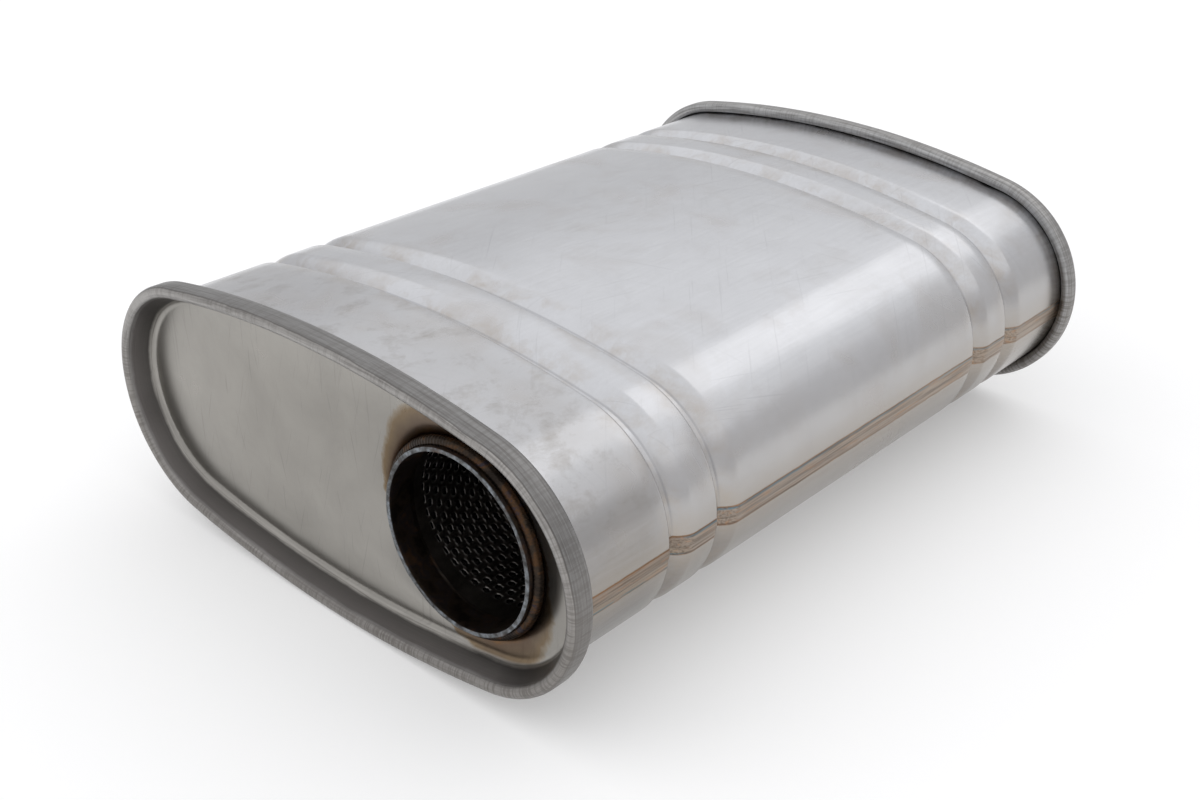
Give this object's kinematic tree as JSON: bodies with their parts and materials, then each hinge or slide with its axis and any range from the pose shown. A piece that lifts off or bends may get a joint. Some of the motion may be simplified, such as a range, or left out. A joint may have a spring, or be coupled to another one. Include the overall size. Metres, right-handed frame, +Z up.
{
  "type": "muffler",
  "caption": "Oval straight-through exhaust muffler with a beaded steel shell, lock-seamed end caps, an offset inlet, a centred outlet and a perforated core.",
  "frame": {"origin": "centre of the muffler's footprint, on the level that its two rims rest on", "axes": "+X across the width, towards the side that the inlet is offset to; +Y along the length, from the inlet end to the outlet end; +Z up through the short height"},
  "size_m": [0.292, 0.387, 0.132],
  "materials": {
    "shell_steel": "satin stainless sheet",
    "cap_steel": "dull stainless sheet",
    "seam_metal": "heat-tinted weld, rolled flat",
    "neck_steel": "heat-darkened steel",
    "weld_metal": "dark weld bead",
    "core_steel": "sooty perforated steel",
    "baffle_steel": "plain steel",
    "steel_wool": "fine wool",
    "glass_fibre": "matt fibre"
  },
  "bodies": {
    "root": {"shell": "shell_steel", "front_cap": "cap_steel", "rear_cap": "cap_steel", "seam_weld": "seam_metal", "inlet_neck": "neck_steel", "outlet_neck": "neck_steel", "inlet_weld": "weld_metal", "outlet_weld": "weld_metal", "inlet_core_weld": "weld_metal", "outlet_core_weld": "weld_metal", "perforated_core": "core_steel", "front_baffle": "baffle_steel", "rear_baffle": "baffle_steel", "front_wool": "steel_wool", "middle_wool": "steel_wool", "rear_wool": "steel_wool", "front_packing": "glass_fibre", "middle_packing": "glass_fibre", "rear_packing": "glass_fibre"}
  },
  "joints": []
}
